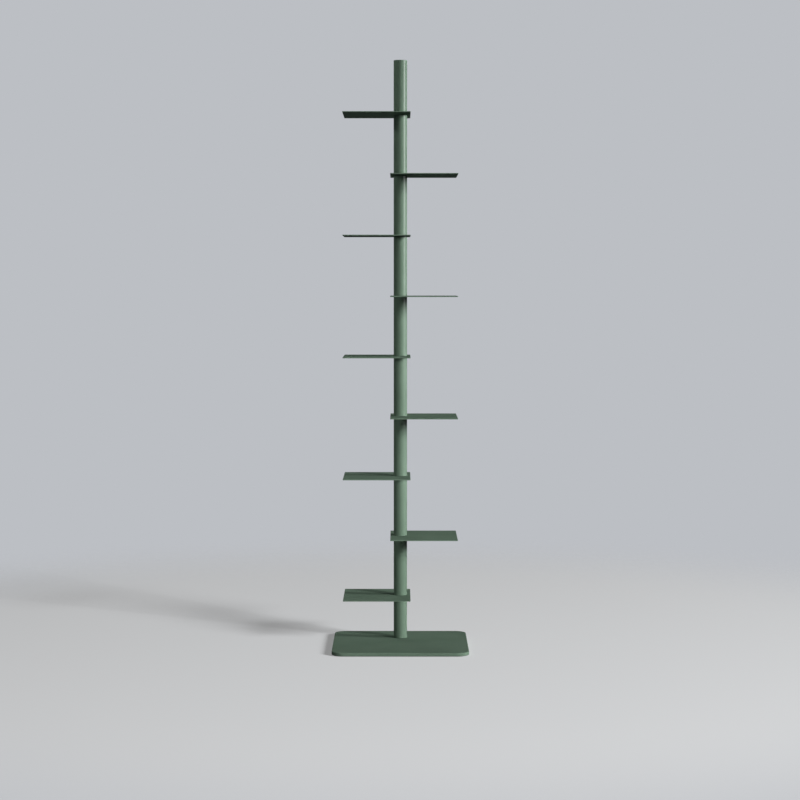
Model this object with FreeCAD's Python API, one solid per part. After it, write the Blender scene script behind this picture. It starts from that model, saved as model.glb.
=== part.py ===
import FreeCAD, Part
import math
import os

# Tower shelving unit: thin plates, threaded on a round post, point left and right in turn.
# Millimetres, +Z up, front toward -Y. The origin is on the floor, under the middle of the base.

# Stack of shelves: between_shelves is the clear height from one plate to the next one above it
shelf_count = 9
between_shelves = 177.5
lowest_shelf_height = 130.0
post_above_shelves = 160.0

# Base plate
base_width = 400.0
base_depth = 400.0
base_thickness = 10.0
base_corner_radius = 35.0
base_edge_radius = 1.5

# Distance from the post's axis to the back edges of the base and the shelves
post_to_back = 120.0

# Lengths of round tube that make the outside of the post
post_diameter = 40.0
post_wall = 2.5
post_edge_radius = 0.5

# Shelves: reach and tail are measured from the post's axis to the far and the near end
shelf_reach = 170.0
shelf_tail = 30.0
shelf_depth = 250.0
shelf_thickness = 2.5
shelf_corner_radius = 2.0
shelf_edge_radius = 0.4

# Square tube inside the post: core_gap is what its rounded corners leave in the post's bore
core_gap = 0.86
core_wall = 2.0
core_inner_radius = 0.5
core_hole_fit = 0.2

# Whole lengths of round tube below the one in whose middle the core is split for packing
sections_below_split_count = 4

# Anything square that slides into the core: foot spigot, joiner and top plug
plug_fit = 0.1

# Spring pins across the core
pin_diameter = 5.0
pin_wall = 1.0
pin_slit = 0.8
pin_end_distance = 12.0
pin_spacing = 20.0

# Foot of the core, screwed to the base from below
foot_fit = 0.25
foot_height = 14.0

# Countersunk screws through the base
base_screw_count = 3
base_screw_diameter = 6.0
base_screw_head_diameter = 11.3
base_screw_head_land = 0.4
base_screw_grip = 10.0
base_screw_rim = 3.2
base_screw_hole_fit = 0.3
base_screw_tip_room = 1.5
base_screw_socket = 4.0
base_screw_socket_depth = 2.2

# Tube that joins the two lengths of core, and its low-head screws
joiner_length = 160.0
joiner_wall = 3.0
joiner_screw_diameter = 5.0
joiner_screw_head_diameter = 9.5
joiner_screw_head_height = 2.75
joiner_screw_hole_fit = 0.25
joiner_screw_tip = 1.0
joiner_screw_socket = 3.0
joiner_screw_socket_depth = 1.6

# Clamp at the top of the post
clamp_screw_diameter = 10.0
clamp_screw_grip = 20.0
clamp_screw_tip_room = 5.0
clamp_screw_hole_fit = 0.5
clamp_screw_head_diameter = 16.0
clamp_screw_head_height = 10.0
clamp_screw_socket = 8.0
clamp_screw_socket_depth = 5.0
clamp_washer_diameter = 20.0
clamp_washer_thickness = 2.0
clamp_ring_thickness = 6.0
clamp_take_up = 5.0
clamp_head_room = 5.0

# Cap that closes the post
cap_thickness = 3.0
cap_depth = 10.0
cap_wall = 2.0
cap_edge_radius = 0.3

# Pads under the base
pad_diameter = 30.0
pad_thickness = 2.5
pad_recess = 1.0
pad_recess_fit = 0.3
pad_edge_radius = 0.4
pad_inset = 45.0

# How far a cutting shape runs past the face that it cuts
overrun = 1.0

# Places that follow from the sizes above
post_y = base_depth / 2 - post_to_back
base_bottom = pad_thickness - pad_recess
base_top = base_bottom + base_thickness
shelf_step = between_shelves + shelf_thickness
shelf_tops = [base_top + lowest_shelf_height + number * shelf_step for number in range(shelf_count)]
post_top = shelf_tops[-1] + post_above_shelves
post_radius = post_diameter / 2
bore_radius = post_radius - post_wall

core_radius = core_inner_radius + core_wall
core_across_corners = 2 * (bore_radius - core_gap)
core_width = (core_across_corners + 2 * core_radius * (math.sqrt(2) - 1)) / math.sqrt(2)
core_inside = core_width - 2 * core_wall
plug_width = core_inside - 2 * plug_fit
pinned_length = 2 * pin_end_distance + pin_spacing

foot_radius = bore_radius - foot_fit
foot_top = base_top + foot_height
screw_circle_radius = foot_radius - base_screw_rim - base_screw_diameter / 2

clamp_ring_top = (post_top - cap_depth - clamp_head_room
                  - clamp_screw_head_height - clamp_washer_thickness)
clamp_ring_bottom = clamp_ring_top - clamp_ring_thickness
core_top = clamp_ring_bottom - clamp_take_up
clamp_thread_depth = clamp_screw_grip + clamp_screw_tip_room


def section_span(number):
    """Lowest and highest point of a length of post, counted from 0 at the base."""
    low = base_top if number == 0 else shelf_tops[number - 1]
    high = post_top if number == shelf_count else shelf_tops[number] - shelf_thickness
    return low, high


core_split = sum(section_span(sections_below_split_count)) / 2


def cylinder(radius, low, high, x=0, y=post_y):
    return Part.makeCylinder(radius, high - low, FreeCAD.Vector(x, y, low))


def block(x_low, x_high, y_low, y_high, z_low, z_high):
    """Box between two values on each axis."""
    corner = FreeCAD.Vector(x_low, y_low, z_low)
    return Part.makeBox(x_high - x_low, y_high - y_low, z_high - z_low, corner)


def upright_edges(solid):
    """Edges whose two ends lie one above the other."""
    chosen = []
    for edge in solid.Edges:
        box = edge.BoundBox
        if box.ZLength > max(box.XLength, box.YLength):
            chosen.append(edge)
    return chosen


def edges_at(solid, *heights):
    """Edges that lie flat at one of the heights given."""
    chosen = []
    for edge in solid.Edges:
        box = edge.BoundBox
        if any(math.isclose(box.ZMin, z) and math.isclose(box.ZMax, z) for z in heights):
            chosen.append(edge)
    return chosen


def square_bar(width, radius, low, high):
    """Upright bar on the post's axis, with rounded corners."""
    half = width / 2
    bar = block(-half, half, post_y - half, post_y + half, low, high)
    return bar.makeFillet(radius, upright_edges(bar))


def rounded_plate(x_low, x_high, y_low, y_high, z_low, z_high, corner_radius, edge_radius):
    """Flat plate with round corners and a small round along its top and bottom edges."""
    plate = block(x_low, x_high, y_low, y_high, z_low, z_high)
    plate = plate.makeFillet(corner_radius, upright_edges(plate))
    return plate.makeFillet(edge_radius, edges_at(plate, z_low, z_high))


def hexagon_bar(across_flats, low, high, x=0, y=post_y):
    """Upright six-sided bar, used to cut the sockets of screws."""
    corner_radius = across_flats / math.sqrt(3)
    corners = []
    for number in range(7):
        angle = math.radians(60 * number)
        place = FreeCAD.Vector(corner_radius * math.cos(angle), corner_radius * math.sin(angle), 0)
        corners.append(place + FreeCAD.Vector(x, y, low))
    return Part.Face(Part.makePolygon(corners)).extrude(FreeCAD.Vector(0, 0, high - low))


def across_post(radius, x_low, x_high, z):
    """Level cylinder that runs from left to right through the post's axis."""
    start = FreeCAD.Vector(x_low, post_y, z)
    return Part.makeCylinder(radius, x_high - x_low, start, FreeCAD.Vector(1, 0, 0))


def behind_post(radius, y_low, y_high, z):
    """Level cylinder that runs from front to back through the post's axis."""
    start = FreeCAD.Vector(0, y_low, z)
    return Part.makeCylinder(radius, y_high - y_low, start, FreeCAD.Vector(0, 1, 0))


def save(shape, name):
    shape.exportStep(os.path.join("parts", name + ".step"))


def screw_circle():
    """Centres of the screws that hold the foot on the base."""
    places = []
    for number in range(base_screw_count):
        angle = 2 * math.pi * number / base_screw_count + math.pi / 2
        x = screw_circle_radius * math.cos(angle)
        y = post_y + screw_circle_radius * math.sin(angle)
        places.append((x, y))
    return places


def pad_places():
    """Centre of each pad, under its own name."""
    x = base_width / 2 - pad_inset
    y = base_depth / 2 - pad_inset
    return {
        "floor_pad_front_left": (-x, -y),
        "floor_pad_front_right": (x, -y),
        "floor_pad_back_left": (-x, y),
        "floor_pad_back_right": (x, y),
    }


def pin_heights(middle):
    """Heights of a pair of pins about the middle of the stretch that they hold."""
    return [middle - pin_spacing / 2, middle + pin_spacing / 2]


foot_pins = pin_heights(foot_top + pinned_length / 2)
joiner_pins = pin_heights(core_split - joiner_length / 4)
joiner_screws = pin_heights(core_split + joiner_length / 4)
plug_bottom = core_top - clamp_thread_depth - pinned_length
plug_pins = pin_heights(plug_bottom + pinned_length / 2)


def drill_pins(solid, heights):
    """Holes for spring pins, right through from left to right."""
    for z in heights:
        solid = solid.cut(across_post(pin_diameter / 2, -post_radius, post_radius, z))
    return solid


def countersunk_screw_head(radius, x, y):
    """Cone under the base plate that narrows upward to the screw's shank, on a thin flat land."""
    land_top = base_bottom + base_screw_head_land
    head_radius = base_screw_head_diameter / 2
    land = cylinder(head_radius, base_bottom, land_top, x, y)
    rise = head_radius - radius
    cone = Part.makeCone(head_radius, radius, rise, FreeCAD.Vector(x, y, land_top))
    return land.fuse(cone)


def make_base_plate():
    half_width = base_width / 2
    half_depth = base_depth / 2
    plate = rounded_plate(-half_width, half_width, -half_depth, half_depth, base_bottom, base_top,
                          base_corner_radius, base_edge_radius)
    hole_radius = base_screw_diameter / 2 + base_screw_hole_fit
    for x, y in screw_circle():
        plate = plate.cut(cylinder(hole_radius, base_bottom - overrun, base_top + overrun, x, y))
        plate = plate.cut(countersunk_screw_head(base_screw_diameter / 2, x, y))
    recess_radius = pad_diameter / 2 + pad_recess_fit
    for x, y in pad_places().values():
        recess = cylinder(recess_radius, base_bottom - overrun, base_bottom + pad_recess, x, y)
        plate = plate.cut(recess)
    return plate


def make_floor_pad(x, y):
    pad = cylinder(pad_diameter / 2, 0, pad_thickness, x, y)
    return pad.makeFillet(pad_edge_radius, edges_at(pad, 0))


def make_foot_flange():
    flange = cylinder(foot_radius, base_top, foot_top)
    spigot = square_bar(plug_width, core_inner_radius, foot_top, foot_top + pinned_length)
    foot = flange.fuse(spigot).removeSplitter()
    hole_top = base_top + base_screw_grip + base_screw_tip_room
    for x, y in screw_circle():
        foot = foot.cut(cylinder(base_screw_diameter / 2, base_top - overrun, hole_top, x, y))
    return drill_pins(foot, foot_pins)


def make_base_screw(x, y):
    shank_bottom = base_bottom + base_screw_head_land
    shank = cylinder(base_screw_diameter / 2, shank_bottom, base_top + base_screw_grip, x, y)
    screw = shank.fuse(countersunk_screw_head(base_screw_diameter / 2, x, y)).removeSplitter()
    socket_top = base_bottom + base_screw_socket_depth
    return screw.cut(hexagon_bar(base_screw_socket, base_bottom - overrun, socket_top, x, y))


def make_core(low, high):
    tube = square_bar(core_width, core_radius, low, high)
    return tube.cut(square_bar(core_inside, core_inner_radius, low - overrun, high + overrun))


def make_core_lower():
    return drill_pins(make_core(foot_top, core_split), foot_pins + joiner_pins)


def make_core_upper():
    core = drill_pins(make_core(core_split, core_top), plug_pins)
    radius = joiner_screw_diameter / 2 + joiner_screw_hole_fit
    for z in joiner_screws:
        core = core.cut(behind_post(radius, post_y, post_y + post_radius, z))
    return core


def make_core_joiner():
    low = core_split - joiner_length / 2
    high = core_split + joiner_length / 2
    tube = square_bar(plug_width, core_inner_radius, low, high)
    hollow = plug_width / 2 - joiner_wall
    tube = tube.cut(block(-hollow, hollow, post_y - hollow, post_y + hollow,
                          low - overrun, high + overrun))
    tube = drill_pins(tube, joiner_pins)
    for z in joiner_screws:
        tube = tube.cut(behind_post(joiner_screw_diameter / 2, post_y, post_y + post_radius, z))
    return tube


def make_spring_pin(z):
    """Rolled pin with a slit along its top, as long as the core is wide."""
    half = core_width / 2
    outer = pin_diameter / 2
    inner = outer - pin_wall
    pin = across_post(outer, -half, half, z)
    pin = pin.cut(across_post(inner, -half - overrun, half + overrun, z))
    slit = block(-half - overrun, half + overrun, post_y - pin_slit / 2, post_y + pin_slit / 2,
                 z, z + pin_diameter)
    return pin.cut(slit)


def make_joiner_screw(z):
    """Low-head screw whose head lies on the back of the core."""
    seat = post_y + core_width / 2
    tip = post_y + plug_width / 2 - joiner_wall - joiner_screw_tip
    shank = behind_post(joiner_screw_diameter / 2, tip, seat, z)
    head_end = seat + joiner_screw_head_height
    head = behind_post(joiner_screw_head_diameter / 2, seat, head_end, z)
    rim = [edge for edge in head.Edges if math.isclose(edge.BoundBox.YMin, head_end)]
    head = head.makeFillet(joiner_screw_head_height / 2, rim)
    socket = hexagon_bar(joiner_screw_socket, -joiner_screw_socket_depth, overrun, 0, 0)
    socket.rotate(FreeCAD.Vector(0, 0, 0), FreeCAD.Vector(1, 0, 0), -90)
    socket.translate(FreeCAD.Vector(0, head_end, z))
    return shank.fuse(head).removeSplitter().cut(socket)


def make_post_section(number):
    low, high = section_span(number)
    tube = cylinder(post_radius, low, high)
    tube = tube.makeFillet(post_edge_radius, edges_at(tube, low, high))
    return tube.cut(cylinder(bore_radius, low - overrun, high + overrun))


def make_shelf(number):
    """Plate that points left where the number, counted from 0 at the bottom, is even."""
    top = shelf_tops[number]
    bottom = top - shelf_thickness
    back = post_y + post_to_back
    points_left = number % 2 == 0
    x_low = -shelf_reach if points_left else -shelf_tail
    x_high = shelf_tail if points_left else shelf_reach
    plate = rounded_plate(x_low, x_high, back - shelf_depth, back, bottom, top,
                          shelf_corner_radius, shelf_edge_radius)
    hole_width = core_width + 2 * core_hole_fit
    hole_radius = core_radius + core_hole_fit
    return plate.cut(square_bar(hole_width, hole_radius, bottom - overrun, top + overrun))


def make_top_plug():
    plug = square_bar(plug_width, core_inner_radius, plug_bottom, core_top)
    thread_bottom = core_top - clamp_thread_depth
    plug = plug.cut(cylinder(clamp_screw_diameter / 2, thread_bottom, core_top + overrun))
    return drill_pins(plug, plug_pins)


def make_top_ring():
    hole_radius = clamp_screw_diameter / 2 + clamp_screw_hole_fit
    ring = cylinder(bore_radius, clamp_ring_bottom, clamp_ring_top)
    return ring.cut(cylinder(hole_radius, clamp_ring_bottom - overrun, clamp_ring_top + overrun))


def make_clamp_washer():
    hole_radius = clamp_screw_diameter / 2 + clamp_screw_hole_fit
    top = clamp_ring_top + clamp_washer_thickness
    washer = cylinder(clamp_washer_diameter / 2, clamp_ring_top, top)
    return washer.cut(cylinder(hole_radius, clamp_ring_top - overrun, top + overrun))


def make_clamp_screw():
    seat = clamp_ring_top + clamp_washer_thickness
    head_top = seat + clamp_screw_head_height
    shank = cylinder(clamp_screw_diameter / 2, core_top - clamp_screw_grip, seat)
    head = cylinder(clamp_screw_head_diameter / 2, seat, head_top)
    screw = shank.fuse(head).removeSplitter()
    socket_bottom = head_top - clamp_screw_socket_depth
    return screw.cut(hexagon_bar(clamp_screw_socket, socket_bottom, head_top + overrun))


def make_top_cap():
    """Disc that lies flush in the post's mouth, on a short skirt."""
    cap = cylinder(bore_radius, post_top - cap_depth, post_top)
    cap = cap.makeFillet(cap_edge_radius, edges_at(cap, post_top))
    hollow = cylinder(bore_radius - cap_wall, post_top - cap_depth - overrun, post_top - cap_thickness)
    return cap.cut(hollow)


def main():
    os.makedirs("parts", exist_ok=True)

    save(make_base_plate(), "base_plate")
    for name, (x, y) in pad_places().items():
        save(make_floor_pad(x, y), name)

    save(make_foot_flange(), "foot_flange")
    save(Part.makeCompound([make_base_screw(x, y) for x, y in screw_circle()]), "base_screws")

    save(make_core_lower(), "core_lower")
    save(make_core_upper(), "core_upper")
    save(make_core_joiner(), "core_joiner")
    pins = [make_spring_pin(z) for z in foot_pins + joiner_pins + plug_pins]
    save(Part.makeCompound(pins), "core_pins")
    save(Part.makeCompound([make_joiner_screw(z) for z in joiner_screws]), "joiner_screws")

    for number in range(shelf_count + 1):
        save(make_post_section(number), "post_section_%d" % (number + 1))
    for number in range(shelf_count):
        save(make_shelf(number), "shelf_%d" % (number + 1))

    save(make_top_plug(), "top_plug")
    save(make_top_ring(), "top_ring")
    save(make_clamp_washer(), "clamp_washer")
    save(make_clamp_screw(), "clamp_screw")
    save(make_top_cap(), "top_cap")

    print("post top %.1f mm above the floor, core %.2f mm wide" % (post_top, core_width))


main()
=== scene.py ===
# %% [markdown]
# # Tower shelving unit: looks
#
# The real unit is a round steel post on a square steel base. Nine thin steel plates are threaded on
# the post and point left and right in turn. Everything that shows is powder coated in one satin sage
# green. The shapes come from the CAD model, whose parts are loaded below and stay where they are.
# This script gives each part its finish, models what is better shaped here, and lights the unit.
#
# The CAD parts could all be rebuilt here as meshes, but their edges are already rounded and every size
# is right, so most of the work goes into the surfaces. Only the pads and the screws are modelled again,
# because they need finer forms. Distances are in metres, with +Z up and the front at -Y.

# %% Load the CAD parts
import math

import bmesh
import bpy
from mathutils import Matrix, Vector


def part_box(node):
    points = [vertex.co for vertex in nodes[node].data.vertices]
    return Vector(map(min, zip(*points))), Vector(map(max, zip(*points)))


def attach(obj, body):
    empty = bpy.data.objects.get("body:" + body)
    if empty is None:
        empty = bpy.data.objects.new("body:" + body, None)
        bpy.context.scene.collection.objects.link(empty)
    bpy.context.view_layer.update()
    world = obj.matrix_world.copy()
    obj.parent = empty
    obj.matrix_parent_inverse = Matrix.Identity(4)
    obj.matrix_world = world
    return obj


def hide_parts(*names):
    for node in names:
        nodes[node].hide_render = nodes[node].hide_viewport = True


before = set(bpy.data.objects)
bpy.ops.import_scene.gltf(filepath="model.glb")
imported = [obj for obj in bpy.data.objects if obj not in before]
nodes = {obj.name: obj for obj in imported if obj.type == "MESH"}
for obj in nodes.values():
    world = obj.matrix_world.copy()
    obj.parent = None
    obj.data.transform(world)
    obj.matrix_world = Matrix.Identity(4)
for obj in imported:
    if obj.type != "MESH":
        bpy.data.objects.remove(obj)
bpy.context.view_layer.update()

# %% [markdown]
# ## Camera
#
# The photograph was taken from in front, well above half the unit's height and from far away, so the
# post is upright and the plates show as thin lines. Moving close with a wide lens would bend the
# plates' lines apart. A long lens from six metres keeps them flat, and a tilt of three degrees down
# frames the unit with no lens shift, so that other views stay centred.

# %% Place the camera
camera_place = (-0.0011, -6.430, 1.0881)
camera_tilt = 3.156
camera_lens = 97.72

camera_data = bpy.data.cameras.new("camera")
camera_data.lens = camera_lens
camera = bpy.data.objects.new("camera", camera_data)
camera.location = camera_place
camera.rotation_euler = (math.radians(90 - camera_tilt), 0, 0)
bpy.context.scene.collection.objects.link(camera)
bpy.context.scene.camera = camera
bpy.context.scene.view_settings.view_transform = "Standard"
print("camera", camera_lens, "mm lens at", camera_place)

# %% [markdown]
# ## Tools for the finishes
#
# Colours are written as the hex values that a screen shows, and one function turns them into the
# linear values that a renderer counts in. A second one adds a node, sets it and links it in a single
# call, so that a finish reads as a short list. Patterns are given by their real size in millimetres.

# %% Colour, node and size helpers
def linear(hex_code):
    """Linear colour of a hex value such as #627665, with an alpha of 1."""
    channels = [int(hex_code[start:start + 2], 16) / 255 for start in (1, 3, 5)]
    return [c / 12.92 if c <= 0.04045 else ((c + 0.055) / 1.055) ** 2.4 for c in channels] + [1.0]


def add_node(tree, kind, settings={}, inputs={}):
    """Add a node. Settings are its own options; an input is a plain value or another node's socket."""
    node = tree.nodes.new(kind)
    for name, value in settings.items():
        setattr(node, name, value)
    for name, value in inputs.items():
        if isinstance(value, bpy.types.NodeSocket):
            tree.links.new(value, node.inputs[name])
        else:
            node.inputs[name].default_value = value
    return node


def per_metre(millimetres):
    """Texture scale at which a pattern's features are this far apart."""
    return 1000 / millimetres


def new_finish(name):
    """An empty material, its node tree, and the place on the object that its patterns are drawn from."""
    material = bpy.data.materials.new(name)
    material.use_nodes = True
    material.node_tree.nodes.clear()
    return material, material.node_tree, add_node(material.node_tree, "ShaderNodeTexCoord").outputs["Object"]


# %% [markdown]
# ## Worn edges
#
# Nearly every finish changes at an edge: a coat pulls thin there, plating rubs bright, rubber turns
# pale. The edges could be painted by hand or found from sharp angles in the mesh. Here a node rounds
# the surface's direction in thought, and wherever that differs from the real direction there is an
# edge. It needs no extra mesh and finds the edges of every part alike.

# %% Find the edges of a part
def worn_edge(tree, reach_mm, most):
    """0 on flat ground, rising to most along the edges, over a band reach_mm wide."""
    rounded = add_node(tree, "ShaderNodeBevel", {"samples": 6}, {"Radius": reach_mm / 1000})
    surface = add_node(tree, "ShaderNodeNewGeometry")
    agreement = add_node(tree, "ShaderNodeVectorMath", {"operation": "DOT_PRODUCT"}, {
        0: rounded.outputs["Normal"], 1: surface.outputs["Normal"]})
    return add_node(tree, "ShaderNodeMapRange", inputs={
        "Value": agreement.outputs["Value"], "From Min": 0.99, "From Max": 0.80,
        "To Max": most}).outputs["Result"]


# %% [markdown]
# ## Sage powder coat
#
# Polyester powder is sprayed on the steel and melted in an oven. It dries to an even satin film about
# 0.08 mm thick. To the eye that gives one flat colour, a soft broad highlight, a faint orange peel,
# and slightly paler edges where the melt pulls thin. A plain colour with one roughness would look
# like plastic, so slow clouds vary the colour and the gloss, a speckle darkens the colour in places,
# and fine bumps break up the highlight.
#
# The pigmented film below is quite matt, and the resin on top of it is drawn as a thin clear coat. With
# the resin's own index of 1.5, a smooth coat turns into a mirror wherever it is seen edge-on, and the
# plates would look frosted. The fine texture of a real coat breaks that mirror up. A higher index at a
# low weight does it here: some gloss stays where the coat faces the eye, and little is left edge-on.
#
# Real orange peel is 2 to 3 mm from crest to crest, less than a pixel from six metres. It is drawn at
# 9 mm, with the same slope, so that it shows. The speckle comes from grains of powder well under a
# millimetre, and is drawn at 5 mm for the same reason.

# %% Mix the powder coat
coat, tree, place = new_finish("powder_coat_satin")
cloud = add_node(tree, "ShaderNodeTexNoise", inputs={"Vector": place, "Scale": per_metre(140), "Detail": 2.0})
cloud_share = add_node(tree, "ShaderNodeMapRange", inputs={
    "Value": cloud.outputs["Fac"], "From Min": 0.35, "From Max": 0.65})
film = add_node(tree, "ShaderNodeMix", {"data_type": "RGBA"}, {
    0: cloud_share.outputs["Result"], 6: linear("#5f7363"), 7: linear("#657969")})

speckle = add_node(tree, "ShaderNodeTexNoise", inputs={"Vector": place, "Scale": per_metre(5), "Detail": 3.0})
speckle_share = add_node(tree, "ShaderNodeMapRange", inputs={
    "Value": speckle.outputs["Fac"], "From Min": 0.52, "From Max": 0.75, "To Max": 0.35})
speckled_film = add_node(tree, "ShaderNodeMix", {"data_type": "RGBA"}, {
    0: speckle_share.outputs["Result"], 6: film.outputs[2], 7: linear("#58695c")})
coat_color = add_node(tree, "ShaderNodeMix", {"data_type": "RGBA"}, {
    0: worn_edge(tree, reach_mm=2, most=0.6), 6: speckled_film.outputs[2], 7: linear("#7d8f81")})

# %% Give the powder coat its gloss and orange peel
matt_share = add_node(tree, "ShaderNodeMapRange", inputs={
    "Value": cloud.outputs["Fac"], "From Min": 0.3, "From Max": 0.7, "To Min": 0.55, "To Max": 0.65})
peel = add_node(tree, "ShaderNodeTexNoise", inputs={"Vector": place, "Scale": per_metre(9), "Detail": 1.0})
peel_bump = add_node(tree, "ShaderNodeBump", inputs={
    "Strength": 1.0, "Distance": 0.0001, "Height": peel.outputs["Fac"]}).outputs["Normal"]
coat_shader = add_node(tree, "ShaderNodeBsdfPrincipled", inputs={
    "Base Color": coat_color.outputs[2], "Roughness": matt_share.outputs["Result"], "Normal": peel_bump,
    "Specular IOR Level": 0.0, "Coat Weight": 0.026, "Coat IOR": 2.5, "Coat Roughness": 0.34,
    "Coat Normal": peel_bump})
add_node(tree, "ShaderNodeOutputMaterial", inputs={"Surface": coat_shader.outputs[0]})
print("powder coat:", len(tree.nodes), "nodes")

# %% Give the coated parts their finish
def put_on(finish, names):
    """Assign a finish to the CAD parts of these names, and say how many they are."""
    for name in names:
        nodes[name].material_slots[0].material = finish
    print(finish.name, "on", len(names), "parts")


put_on(coat, [name for name in nodes
              if name in ("base_plate", "top_cap") or name.startswith(("post_section_", "shelf_"))])

# %% [markdown]
# ## Drawn steel
#
# The square core inside the post is cold-drawn tube, cut from stock and left bare under a film of oil.
# Drawing pulls the metal through a die, which leaves fine straight lines along the tube, and the oil
# dries to yellowish clouds. Noise that is squeezed across the tube and stretched along it gives lines
# of uneven depth, as a die does. A wave pattern would repeat too evenly.
#
# Drawing lines are about 0.1 mm apart. They are drawn at 0.8 mm, so that they show.

# %% Draw the steel
drawn_steel, tree, place = new_finish("steel_cold_drawn")
line_stretch = 125
along = add_node(tree, "ShaderNodeMapping", inputs={
    "Vector": place, "Scale": (1.0, 1.0, 1 / line_stretch)})
lines = add_node(tree, "ShaderNodeTexNoise", inputs={
    "Vector": along.outputs["Vector"], "Scale": per_metre(0.8), "Detail": 4.0})
oil = add_node(tree, "ShaderNodeTexNoise", inputs={"Vector": place, "Scale": per_metre(45), "Detail": 3.0})
oil_share = add_node(tree, "ShaderNodeMapRange", inputs={
    "Value": oil.outputs["Fac"], "From Min": 0.4, "From Max": 0.65})
oiled = add_node(tree, "ShaderNodeMix", {"data_type": "RGBA"}, {
    0: oil_share.outputs["Result"], 6: linear("#92918d"), 7: linear("#85806f")})
drawn_color = add_node(tree, "ShaderNodeMix", {"data_type": "RGBA"}, {
    0: worn_edge(tree, reach_mm=1, most=0.5), 6: oiled.outputs[2], 7: linear("#b4b3ae")})
line_gloss = add_node(tree, "ShaderNodeMapRange", inputs={
    "Value": lines.outputs["Fac"], "From Min": 0.3, "From Max": 0.7, "To Min": 0.30, "To Max": 0.46})
line_bump = add_node(tree, "ShaderNodeBump", inputs={
    "Strength": 1.0, "Distance": 0.00001, "Height": lines.outputs["Fac"]})
drawn_shader = add_node(tree, "ShaderNodeBsdfPrincipled", inputs={
    "Base Color": drawn_color.outputs[2], "Metallic": 1.0, "Roughness": line_gloss.outputs["Result"],
    "Normal": line_bump.outputs["Normal"]})
add_node(tree, "ShaderNodeOutputMaterial", inputs={"Surface": drawn_shader.outputs[0]})
put_on(drawn_steel, ["core_lower", "core_upper", "core_joiner", "top_plug"])

# %% [markdown]
# ## Turned steel
#
# The foot and the ring at the top of the post are turned on a lathe, whose tool leaves one fine groove
# that winds over the faces and up the walls. Rings about the post's own axis draw it on the faces, and
# bands up that axis draw it on the walls. A brushed finish with straight lines would look milled.
#
# A lathe feeds about 0.2 mm a turn. The grooves are drawn 0.8 mm apart, so that they show. The wave
# texture turns by 20 radians for each unit of its scale, and a groove is one full turn of the wave.

# %% Turn the steel
turned_steel, tree, place = new_finish("steel_lathe_turned")
foot_low, foot_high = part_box("foot_flange")
post_axis = [(foot_low[side] + foot_high[side]) / 2 for side in (0, 1)]
centred = add_node(tree, "ShaderNodeMapping", inputs={
    "Vector": place, "Location": (-post_axis[0], -post_axis[1], 0.0)}).outputs["Vector"]
wave_phase = 20
groove_scale = per_metre(0.8) * 2 * math.pi / wave_phase
rings = add_node(tree, "ShaderNodeTexWave", {"wave_type": "RINGS", "rings_direction": "Z"}, {
    "Vector": centred, "Scale": groove_scale, "Distortion": 0.6, "Detail": 1.0})
bands = add_node(tree, "ShaderNodeTexWave", {"wave_type": "BANDS", "bands_direction": "Z"}, {
    "Vector": centred, "Scale": groove_scale, "Distortion": 0.6, "Detail": 1.0})
grooves = add_node(tree, "ShaderNodeMath", {"operation": "ADD"}, {
    0: rings.outputs["Fac"], 1: bands.outputs["Fac"]})
tint = add_node(tree, "ShaderNodeTexNoise", inputs={"Vector": place, "Scale": per_metre(14), "Detail": 2.0})
tinted = add_node(tree, "ShaderNodeMix", {"data_type": "RGBA"}, {
    0: tint.outputs["Fac"], 6: linear("#97989a"), 7: linear("#8b8a87")})
turned_color = add_node(tree, "ShaderNodeMix", {"data_type": "RGBA"}, {
    0: worn_edge(tree, reach_mm=0.8, most=0.6), 6: tinted.outputs[2], 7: linear("#bdbdbb")})
groove_gloss = add_node(tree, "ShaderNodeMapRange", inputs={
    "Value": grooves.outputs[0], "From Max": 2.0, "To Min": 0.24, "To Max": 0.38})
groove_bump = add_node(tree, "ShaderNodeBump", inputs={
    "Strength": 1.0, "Distance": 0.00002, "Height": grooves.outputs[0]})
turned_shader = add_node(tree, "ShaderNodeBsdfPrincipled", inputs={
    "Base Color": turned_color.outputs[2], "Metallic": 1.0, "Roughness": groove_gloss.outputs["Result"],
    "Normal": groove_bump.outputs["Normal"]})
add_node(tree, "ShaderNodeOutputMaterial", inputs={"Surface": turned_shader.outputs[0]})
put_on(turned_steel, ["foot_flange", "top_ring"])

# %% [markdown]
# ## Zinc plate
#
# Screws, washer and pins are zinc plated. The plating grows as fine crystals and is dipped in a clear
# passivate, which leaves a cool bluish silver with yellower patches. Cell noise gives each crystal
# its own gloss. One smooth metal would look like chrome.
#
# The crystals of bright zinc are far below 0.1 mm. They are drawn at 0.6 mm, so that they show.

# %% Plate the screws, washer and pins
zinc_plate, tree, place = new_finish("steel_zinc_plated")
crystals = add_node(tree, "ShaderNodeTexVoronoi", inputs={"Vector": place, "Scale": per_metre(0.6)})
passivate = add_node(tree, "ShaderNodeTexNoise", inputs={
    "Vector": place, "Scale": per_metre(6), "Detail": 2.0})
passivated = add_node(tree, "ShaderNodeMix", {"data_type": "RGBA"}, {
    0: passivate.outputs["Fac"], 6: linear("#a7adb6"), 7: linear("#b3b0a4")})
zinc_color = add_node(tree, "ShaderNodeMix", {"data_type": "RGBA"}, {
    0: worn_edge(tree, reach_mm=0.5, most=0.7), 6: passivated.outputs[2], 7: linear("#d0d2d3")})
crystal_gloss = add_node(tree, "ShaderNodeMapRange", inputs={
    "Value": crystals.outputs["Color"], "To Min": 0.24, "To Max": 0.40})
crystal_bump = add_node(tree, "ShaderNodeBump", inputs={
    "Strength": 1.0, "Distance": 0.00001, "Height": crystals.outputs["Distance"]})
zinc_shader = add_node(tree, "ShaderNodeBsdfPrincipled", inputs={
    "Base Color": zinc_color.outputs[2], "Metallic": 1.0, "Roughness": crystal_gloss.outputs["Result"],
    "Normal": crystal_bump.outputs["Normal"]})
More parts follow.
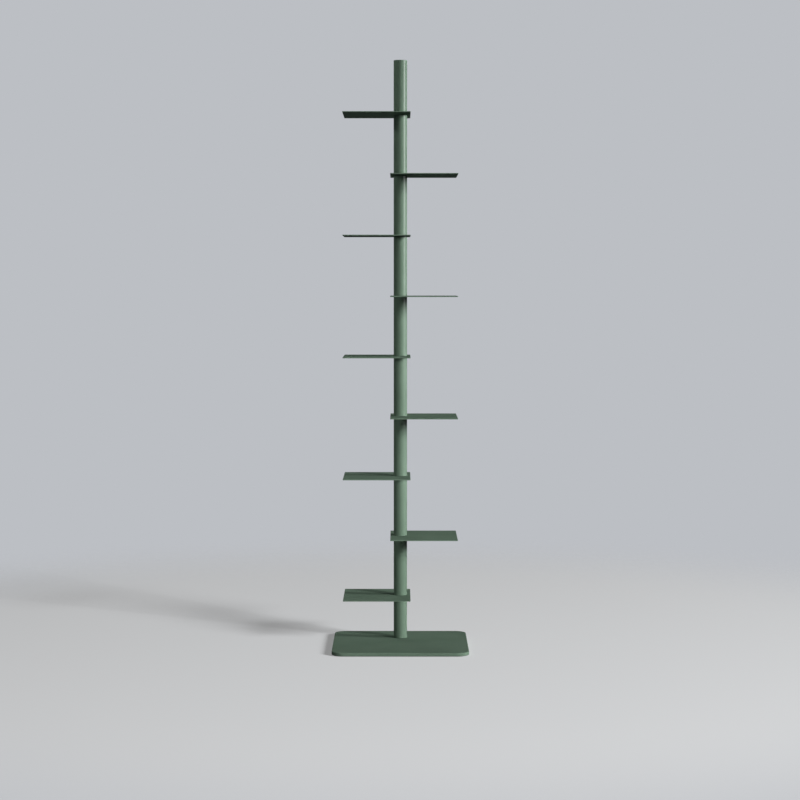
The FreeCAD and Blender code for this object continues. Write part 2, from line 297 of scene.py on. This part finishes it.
add_node(tree, "ShaderNodeOutputMaterial", inputs={"Surface": zinc_shader.outputs[0]})
put_on(zinc_plate, ["core_pins", "clamp_washer"])

# %% [markdown]
# ## Screws
#
# Three countersunk screws hold the foot, two low-head screws hold the core's joint, and one big screw
# clamps the whole stack. Their threads are rolled, and the big one's head is knurled. A bump pattern
# could show a thread, but the exported mesh would lose it. Spinning a zigzag that climbs one pitch a
# turn gives the true helix. Level cuts then square it off, and the head is spun on from its outline,
# so each screw is one closed skin. The screws are drawn in millimetres, about +Z, with the end of the
# head at height 0, and scaled to metres when they are stood in place.
#
# A metric thread is 0.61 of its pitch deep. Its root is flat for a quarter of the pitch and its crest
# for an eighth, with two even flanks between them. Each head is an outline from the seat up to the end,
# given as distances from the axis and heights.

# %% Roll a thread
thread_steps = 40
thread_depth = 0.61
spare_turns = 2
weld_reach = 0.001


def from_axis(corner):
    """Distance of a corner from the screw's own axis."""
    return math.hypot(corner.co.x, corner.co.y)


def cut_level(build, height, keep=0):
    """Cut at a height and return the cut's edges. keep is 1 for the part above, -1 for below, 0 for both."""
    cut = bmesh.ops.bisect_plane(build, geom=build.verts[:] + build.edges[:] + build.faces[:],
                                 dist=weld_reach, plane_co=(0, 0, height), plane_no=(0, 0, 1),
                                 clear_outer=keep < 0, clear_inner=keep > 0)
    return [piece for piece in cut["geom_cut"] if isinstance(piece, bmesh.types.BMEdge)]


def threaded_shank(diameter, pitch, tip, top):
    """A threaded wall with a closed tip. Returns the mesh and the edges of its open top."""
    crest = diameter / 2
    root = crest - thread_depth * pitch
    wave = ((root, 0.0), (root, 0.25), (crest, 0.56), (crest, 0.69))
    turns = range(-spare_turns, math.ceil((top - tip) / pitch) + spare_turns)
    zigzag = [(reach, tip + (turn + share) * pitch) for turn in turns for reach, share in wave]
    build = bmesh.new()
    corners = [build.verts.new((reach, 0, height)) for reach, height in zigzag]
    edges = [build.edges.new(pair) for pair in zip(corners, corners[1:])]
    bmesh.ops.spin(build, geom=corners + edges, cent=(0, 0, 0), axis=(0, 0, 1), angle=2 * math.pi,
                   dvec=(0, 0, pitch / thread_steps), steps=thread_steps)
    bmesh.ops.remove_doubles(build, verts=build.verts, dist=weld_reach)
    cut_level(build, tip + pitch)
    tip_edges = cut_level(build, tip, keep=1)
    tip_radius = root - pitch / 4
    for corner in {corner for edge in tip_edges for corner in edge.verts}:
        corner.co.xy *= tip_radius / from_axis(corner)
    bmesh.ops.triangle_fill(build, edges=tip_edges, use_beauty=True)
    return build, cut_level(build, top, keep=-1)


# %% Put a head on a thread
head_steps = 120
knurl_depth = 0.2
knurl_margin = 1


def add_head(build, shank_edges, outline, across_flats, socket_depth, knurled=False):
    """Spin a head onto a shank from its outline, which ends at height 0, and sink a hexagon socket."""
    corners = [build.verts.new((reach, 0, height)) for reach, height in outline]
    edges = [build.edges.new(pair) for pair in zip(corners, corners[1:])]
    bmesh.ops.spin(build, geom=corners + edges, cent=(0, 0, 0), axis=(0, 0, 1), angle=2 * math.pi,
                   steps=head_steps, use_merge=True)
    open_edges = [edge for edge in build.edges if edge.is_boundary and edge not in set(shank_edges)]
    seat = [edge for edge in open_edges if edge.verts[0].co.z < outline[0][1] + weld_reach]
    end = [edge for edge in open_edges if edge.verts[0].co.z > -weld_reach]
    bmesh.ops.triangle_fill(build, edges=shank_edges + seat, use_beauty=True)
    hexagon = bmesh.ops.create_circle(build, segments=6, radius=across_flats / math.sqrt(3))["verts"]
    mouth = list({edge for corner in hexagon for edge in corner.link_edges})
    bmesh.ops.triangle_fill(build, edges=end + mouth, use_beauty=True)
    sunk = bmesh.ops.extrude_edge_only(build, edges=mouth)["geom"]
    bmesh.ops.translate(build, vec=(0, 0, -socket_depth),
                        verts=[piece for piece in sunk if isinstance(piece, bmesh.types.BMVert)])
    bmesh.ops.contextual_create(build, geom=[edge for edge in build.edges if edge.is_boundary])
    if knurled:
        widest = max(reach for reach, height in outline)
        band_low = outline[1][1] + knurl_margin
        for corner in build.verts:
            spoke = round(math.atan2(corner.co.y, corner.co.x) * head_steps / (2 * math.pi))
            on_wall = abs(from_axis(corner) - widest) < weld_reach
            if on_wall and band_low < corner.co.z < -knurl_margin and spoke % 2:
                corner.co.xy *= 1 - knurl_depth / widest
    bmesh.ops.recalc_face_normals(build, faces=build.faces)
    return build


# %% Draw the three kinds of screw
clamp_head = 10
clamp_outline = [(7.6, -clamp_head), (8, -9.6), (8, -8.5), (8, -1.5), (8, -0.6), (7.4, 0)]
clamp_kind = add_head(*threaded_shank(diameter=10, pitch=1.5, tip=-43, top=-clamp_head), clamp_outline,
                      across_flats=8, socket_depth=5, knurled=True)

base_head = 3.05
base_head_radius = 5.65
base_outline = [(3.02, -base_head), (base_head_radius, -0.4), (base_head_radius, 0)]
base_kind = add_head(*threaded_shank(diameter=6, pitch=1.0, tip=-20, top=-base_head), base_outline,
                     across_flats=4, socket_depth=2.2)

joiner_head = 2.75
dome = joiner_head / 2
dome_center = 4.75 - dome
dome_angles = [math.radians(degrees) for degrees in range(0, 91, 15)]
joiner_outline = [(dome_center + dome, -joiner_head)] + [
    (dome_center + dome * math.cos(angle), -dome + dome * math.sin(angle)) for angle in dome_angles]
joiner_kind = add_head(*threaded_shank(diameter=5, pitch=0.8, tip=-8.85, top=-joiner_head), joiner_outline,
                       across_flats=3, socket_depth=1.6)
for kind, build in (("clamp", clamp_kind), ("base", base_kind), ("joiner", joiner_kind)):
    print(kind, "screw:", len(build.faces), "faces,", round(build.calc_volume() / 1000, 2), "cubic cm")


# %% Stand copies of a screw in the place of a CAD part
millimetre = 0.001


def fit_screws(name, kind, places, outward):
    """Copies of one kind of screw, with the ends of their heads at these places and turned outward."""
    turn = Vector(outward).to_track_quat("Z", "Y").to_matrix().to_4x4() @ Matrix.Scale(millimetre, 4)
    joined = bmesh.new()
    mesh = bpy.data.meshes.new(name + "_threaded")
    for place in places:
        copy = kind.copy()
        bmesh.ops.transform(copy, matrix=Matrix.Translation(place) @ turn, verts=copy.verts)
        copy.to_mesh(mesh)
        copy.free()
        joined.from_mesh(mesh)
    joined.to_mesh(mesh)
    joined.free()
    kind.free()
    mesh.shade_smooth()
    mesh.set_sharp_from_angle(angle=math.radians(30))
    mesh.materials.append(zinc_plate)
    piece = bpy.data.objects.new(name + "_threaded", mesh)
    bpy.context.scene.collection.objects.link(piece)
    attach(piece, "root")
    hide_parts(name)
    print(piece.name, len(places), "screws,", [round(v * 1000, 2) for v in piece.dimensions], "mm")


# %% Fit the screws
low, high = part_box("clamp_screw")
fit_screws("clamp_screw", clamp_kind, [(post_axis[0], post_axis[1], high.z)], outward=(0, 0, 1))

low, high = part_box("joiner_screws")
head_radius = (high.x - low.x) / 2
heights = (low.z + head_radius, high.z - head_radius)
fit_screws("joiner_screws", joiner_kind, [(post_axis[0], high.y, height) for height in heights],
           outward=(0, 1, 0))

low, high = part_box("base_screws")
circle_radius = high.y - base_head_radius * millimetre - post_axis[1]
angles = [math.radians(degrees) for degrees in (90, 210, 330)]
fit_screws("base_screws", base_kind, [
    (post_axis[0] + circle_radius * math.cos(angle), post_axis[1] + circle_radius * math.sin(angle), low.z)
    for angle in angles], outward=(0, 0, -1))

# %% [markdown]
# ## Moulded rubber
#
# The pads under the base are pressed from black rubber. A mould leaves a fine even grain, and the
# rubber turns greyer with dust and at its edges. Rubber scatters light widely, so it stays rough
# everywhere, and only the grain and the dust keep it from looking like a hole in the picture.
#
# The mould's grain is about 0.2 mm. It is drawn at 0.7 mm, so that it shows.

# %% Mould the rubber
rubber, tree, place = new_finish("rubber_moulded")
dust = add_node(tree, "ShaderNodeTexNoise", inputs={"Vector": place, "Scale": per_metre(9), "Detail": 4.0})
dust_share = add_node(tree, "ShaderNodeMapRange", inputs={
    "Value": dust.outputs["Fac"], "From Min": 0.45, "From Max": 0.75, "To Max": 0.7})
dusty = add_node(tree, "ShaderNodeMix", {"data_type": "RGBA"}, {
    0: dust_share.outputs["Result"], 6: linear("#161615"), 7: linear("#2c2b29")})
rubber_color = add_node(tree, "ShaderNodeMix", {"data_type": "RGBA"}, {
    0: worn_edge(tree, reach_mm=0.8, most=0.6), 6: dusty.outputs[2], 7: linear("#3b3a37")})
rubber_gloss = add_node(tree, "ShaderNodeMapRange", inputs={
    "Value": dust.outputs["Fac"], "From Min": 0.3, "From Max": 0.7, "To Min": 0.68, "To Max": 0.86})
grain = add_node(tree, "ShaderNodeTexNoise", inputs={"Vector": place, "Scale": per_metre(0.7), "Detail": 2.0})
grain_bump = add_node(tree, "ShaderNodeBump", inputs={
    "Strength": 0.6, "Distance": 0.00005, "Height": grain.outputs["Fac"]})
rubber_shader = add_node(tree, "ShaderNodeBsdfPrincipled", inputs={
    "Base Color": rubber_color.outputs[2], "Roughness": rubber_gloss.outputs["Result"],
    "Normal": grain_bump.outputs["Normal"]})
add_node(tree, "ShaderNodeOutputMaterial", inputs={"Surface": rubber_shader.outputs[0]})
print("rubber:", len(tree.nodes), "nodes")

# %% [markdown]
# ## Floor pads
#
# Four round pads sit in shallow recesses under the base. The real ones are pressed with ring-shaped
# ribs on the face that grips the floor. A plain disc with a bump pattern would lose the ribs in the
# exported mesh, so half a cross-section is drawn and spun about the pad's axis, then its sharp rings
# are rounded. Each pad fills the place of the plain CAD one, which it stands for.

# %% Spin a ribbed pad
rib_count = 3
rib_depth = 0.0006
edge_softening = 0.0002
sharp_angle = math.radians(25)
weld_distance = 0.00001
spin_steps = 72


def ribbed_pad(name):
    """A pad with ring ribs on its underside, in the place of the CAD pad of this name."""
    low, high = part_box(name)
    center = (low + high) / 2
    radius = (high.x - low.x) / 2
    rib_width = radius / (2 * rib_count + 1)
    outline = [(0.0, high.z), (radius, high.z), (radius, low.z)]
    for number in range(rib_count):
        groove_outside = radius - (2 * number + 1) * rib_width
        groove_inside = groove_outside - rib_width
        outline += [(groove_outside, low.z), (groove_outside - rib_depth / 2, low.z + rib_depth),
                    (groove_inside + rib_depth / 2, low.z + rib_depth), (groove_inside, low.z)]
    outline.append((0.0, low.z))
    build = bmesh.new()
    corners = [build.verts.new((center.x + reach, center.y, height)) for reach, height in outline]
    section = [build.edges.new(pair) for pair in zip(corners, corners[1:])]
    bmesh.ops.spin(build, geom=corners + section, cent=(center.x, center.y, 0), axis=(0, 0, 1),
                   angle=2 * math.pi, steps=spin_steps, use_merge=True)
    bmesh.ops.remove_doubles(build, verts=build.verts, dist=weld_distance)
    bmesh.ops.recalc_face_normals(build, faces=build.faces)
    sharp = [edge for edge in build.edges
             if len(edge.link_faces) == 2 and edge.calc_face_angle() > sharp_angle]
    bmesh.ops.bevel(build, geom=sharp, affect="EDGES", offset=edge_softening, segments=2,
                    profile=0.5, material=-1)
    mesh = bpy.data.meshes.new(name + "_ribbed")
    build.to_mesh(mesh)
    build.free()
    mesh.shade_smooth()
    mesh.materials.append(rubber)
    pad = bpy.data.objects.new(name + "_ribbed", mesh)
    bpy.context.scene.collection.objects.link(pad)
    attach(pad, "root")
    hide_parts(name)
    return pad


# %% Fit the four pads
for name in sorted(name for name in nodes if name.startswith("floor_pad_")):
    pad = ribbed_pad(name)
    print(pad.name, len(pad.data.polygons), "faces", [round(v * 1000, 2) for v in pad.dimensions], "mm")

# %% [markdown]
# ## Floor
#
# The unit stands on a plain pale floor. A large disc of matt grey is enough. Its rim turns clear, so
# the floor runs into the background with no line across the picture. Where the floor is seen it has a
# pale colour and a faint glow. The light that it throws up on the unit comes from a darker colour, so
# that the undersides of the plates stay dark.

# %% Lay the floor
floor_radius = 3.0
fade_start, fade_end = 1.2, 2.9
floor_color = "#d2d4d6"
floor_bounce = "#3a3b3c"
floor_glow = 0.26

floor_mesh = bpy.data.meshes.new("floor")
floor_build = bmesh.new()
bmesh.ops.create_circle(floor_build, cap_ends=True, segments=96, radius=floor_radius)
floor_build.to_mesh(floor_mesh)
floor_build.free()
floor = bpy.data.objects.new("floor", floor_mesh)
bpy.context.scene.collection.objects.link(floor)


def seen_directly(tree):
    """1 for rays that show the floor or background as a picture, 0 for rays that only carry light."""
    path = add_node(tree, "ShaderNodeLightPath")
    mirror = add_node(tree, "ShaderNodeMath", {"operation": "MAXIMUM"}, {
        0: path.outputs["Is Glossy Ray"], 1: path.outputs["Is Transmission Ray"]})
    return add_node(tree, "ShaderNodeMath", {"operation": "MAXIMUM"}, {
        0: path.outputs["Is Camera Ray"], 1: mirror.outputs[0]}).outputs[0]


floor_finish, tree, place = new_finish("floor_matt")
distance = add_node(tree, "ShaderNodeVectorMath", {"operation": "LENGTH"}, {0: place})
rim = add_node(tree, "ShaderNodeMapRange", {"interpolation_type": "SMOOTHERSTEP"}, {
    "Value": distance.outputs["Value"], "From Min": fade_start, "From Max": fade_end})
shown = seen_directly(tree)
matt_color = add_node(tree, "ShaderNodeMix", {"data_type": "RGBA"}, {
    0: shown, 6: linear(floor_bounce), 7: linear(floor_color)})
matt = add_node(tree, "ShaderNodeBsdfDiffuse", inputs={"Color": matt_color.outputs[2]})
lift = add_node(tree, "ShaderNodeMath", {"operation": "MULTIPLY"}, {0: shown, 1: floor_glow})
glow = add_node(tree, "ShaderNodeEmission", inputs={"Color": linear("#ffffff"), "Strength": lift.outputs[0]})
lifted = add_node(tree, "ShaderNodeAddShader", inputs={0: matt.outputs[0], 1: glow.outputs[0]})
clear = add_node(tree, "ShaderNodeBsdfTransparent")
fading = add_node(tree, "ShaderNodeMixShader", inputs={
    0: rim.outputs["Result"], 1: lifted.outputs[0], 2: clear.outputs[0]})
add_node(tree, "ShaderNodeOutputMaterial", inputs={"Surface": fading.outputs[0]})
floor_mesh.materials.append(floor_finish)
print("floor:", floor_radius, "m radius")

# %% [markdown]
# ## Background
#
# The background is an even pale grey. Seen directly or in a reflection it has its full value. As a
# light it is dim, so that the lamps shape the post and the undersides of the plates stay dark.

# %% Fill the background
world = bpy.data.worlds.new("studio")
bpy.context.scene.world = world
world.use_nodes = True
tree = world.node_tree
tree.nodes.clear()
seen_sky = add_node(tree, "ShaderNodeBackground", inputs={"Color": linear("#bcbfc4"), "Strength": 1.0})
dim_sky = add_node(tree, "ShaderNodeBackground", inputs={"Color": linear("#dfe6f2"), "Strength": 0.02})
sky = add_node(tree, "ShaderNodeMixShader", inputs={
    0: seen_directly(tree), 1: dim_sky.outputs[0], 2: seen_sky.outputs[0]})
add_node(tree, "ShaderNodeOutputWorld", inputs={"Surface": sky.outputs[0]})
print("background:", world.name)

# %% [markdown]
# ## Lamps
#
# One big softbox would flatten the post into a stripe. The photograph's light is low and comes from
# the right: one lamp at the front right draws the post's shadow over the plates, one at the side
# rounds the post, and a second one there makes it brighter towards the top. Round spots with soft
# edges fade up and down the post, and softboxes reach all of it. Weak lamps at the front and the left
# and one behind fill the rest, and one more lights only the base, for its front face.
#
# Every lamp hangs eight metres away or more, so that its light is even along the post. Its strength is
# given as a level: at level 1 a face turned to the lamp shows its colour as it is written.

# %% Aim a lamp at the post
def aim_lamp(name, lamp_data, azimuth, elevation, distance, aim_height):
    """Hang a lamp in a direction from the post's axis. Azimuth 0 is the front and 90 the right."""
    lamp = bpy.data.objects.new(name, lamp_data)
    turn, rise = math.radians(azimuth), math.radians(elevation)
    toward = Vector((math.sin(turn) * math.cos(rise), -math.cos(turn) * math.cos(rise), math.sin(rise)))
    lamp.location = Vector((post_axis[0], post_axis[1], aim_height)) + toward * distance
    lamp.rotation_euler = toward.to_track_quat("Z", "Y").to_euler()
    lamp.visible_camera = False
    bpy.context.scene.collection.objects.link(lamp)
    print(name, "at", [round(v, 2) for v in lamp.location])
    return lamp


def hang_softbox(name, level, azimuth, elevation, size, distance=8, aim_height=0.87):
    """A softbox of this width and height, which lights the whole unit."""
    lamp_data = bpy.data.lights.new(name, "AREA")
    lamp_data.shape = "RECTANGLE"
    lamp_data.size, lamp_data.size_y = size
    lamp_data.energy = level * math.pi ** 2 * distance ** 2
    return aim_lamp(name, lamp_data, azimuth, elevation, distance, aim_height)


def hang_spot(name, level, azimuth, elevation, size, aim_height, cone, distance=8):
    """A round soft lamp of this diameter, whose light fades from its middle to the edge of its cone."""
    lamp_data = bpy.data.lights.new(name, "SPOT")
    lamp_data.shadow_soft_size = size / 2
    lamp_data.spot_size = math.radians(cone)
    lamp_data.spot_blend = 1.0
    lamp_data.energy = level * 4 * math.pi ** 2 * distance ** 2
    return aim_lamp(name, lamp_data, azimuth, elevation, distance, aim_height)


# %% Hang the lamps
side = hang_softbox("side_softbox", 0.88, azimuth=77, elevation=9.5, size=(1.2, 1.0))
upper_side = hang_spot("upper_side_spot", 1.03, azimuth=77, elevation=12.5, size=1.8, aim_height=1.62,
                       cone=16)
front = hang_spot("front_spot", 1.24, azimuth=49, elevation=19, size=1.8, aim_height=0.4, cone=16)
fill = hang_softbox("fill_softbox", 0.03, azimuth=-15, elevation=3, size=(3.0, 1.5))
middle_fill = hang_spot("middle_fill_spot", 0.55, azimuth=-35, elevation=3, size=1.5, aim_height=0.65, cone=9)
upper_left = hang_spot("upper_left_spot", 0.60, azimuth=-65, elevation=14, size=1.0, aim_height=1.9, cone=8)
behind = hang_softbox("back_softbox", 0.65, azimuth=200, elevation=1, size=(2.5, 2.5))
base_front = hang_softbox("base_softbox", 0.27, azimuth=30, elevation=1, size=(1.5, 0.8), aim_height=0)
line = hang_softbox("line_softbox", 3.9, azimuth=75, elevation=6, size=(1.3, 2.4), aim_height=1.45)
over_floor = hang_softbox("floor_softbox", 1.55, azimuth=49, elevation=17, size=(4.4, 3.2), distance=16,
                          aim_height=0)

# %% [markdown]
# The thin bright line down the post is the mirror image of one tall softbox, which the round steel
# squeezes into a line. That lamp shows only as this image and only on the post. The other lamps light
# without an image, because their reflections would wash out the plates in views from behind. The floor
# gets a lamp of its own, so that it stays even and keeps the unit's one soft shadow.

# %% Share the lamps between the post, the unit and the floor
def light_only(lamps, name, lit=(), unlit=()):
    """Let the lamps light only the lit objects, or all but the unlit ones."""
    receivers = bpy.data.collections.new(name)
    for thing in [*lit, *unlit]:
        receivers.objects.link(thing)
    for link in receivers.collection_objects:
        link.light_linking.link_state = "INCLUDE" if lit else "EXCLUDE"
    for lamp in lamps:
        lamp.light_linking.receiver_collection = receivers
    print(name + ":", len(lamps), "lamps")


room_lamps = [side, upper_side, front, fill, middle_fill, upper_left, behind]
for lamp in [*room_lamps, base_front]:
    lamp.visible_glossy = False
line.visible_diffuse = False
light_only(room_lamps, "all_but_floor", unlit=[floor])
light_only([line], "post_alone", lit=[nodes[name] for name in nodes if name.startswith("post_section_")])
light_only([base_front], "base_alone", lit=[nodes["base_plate"]])
light_only([over_floor], "floor_alone", lit=[floor])
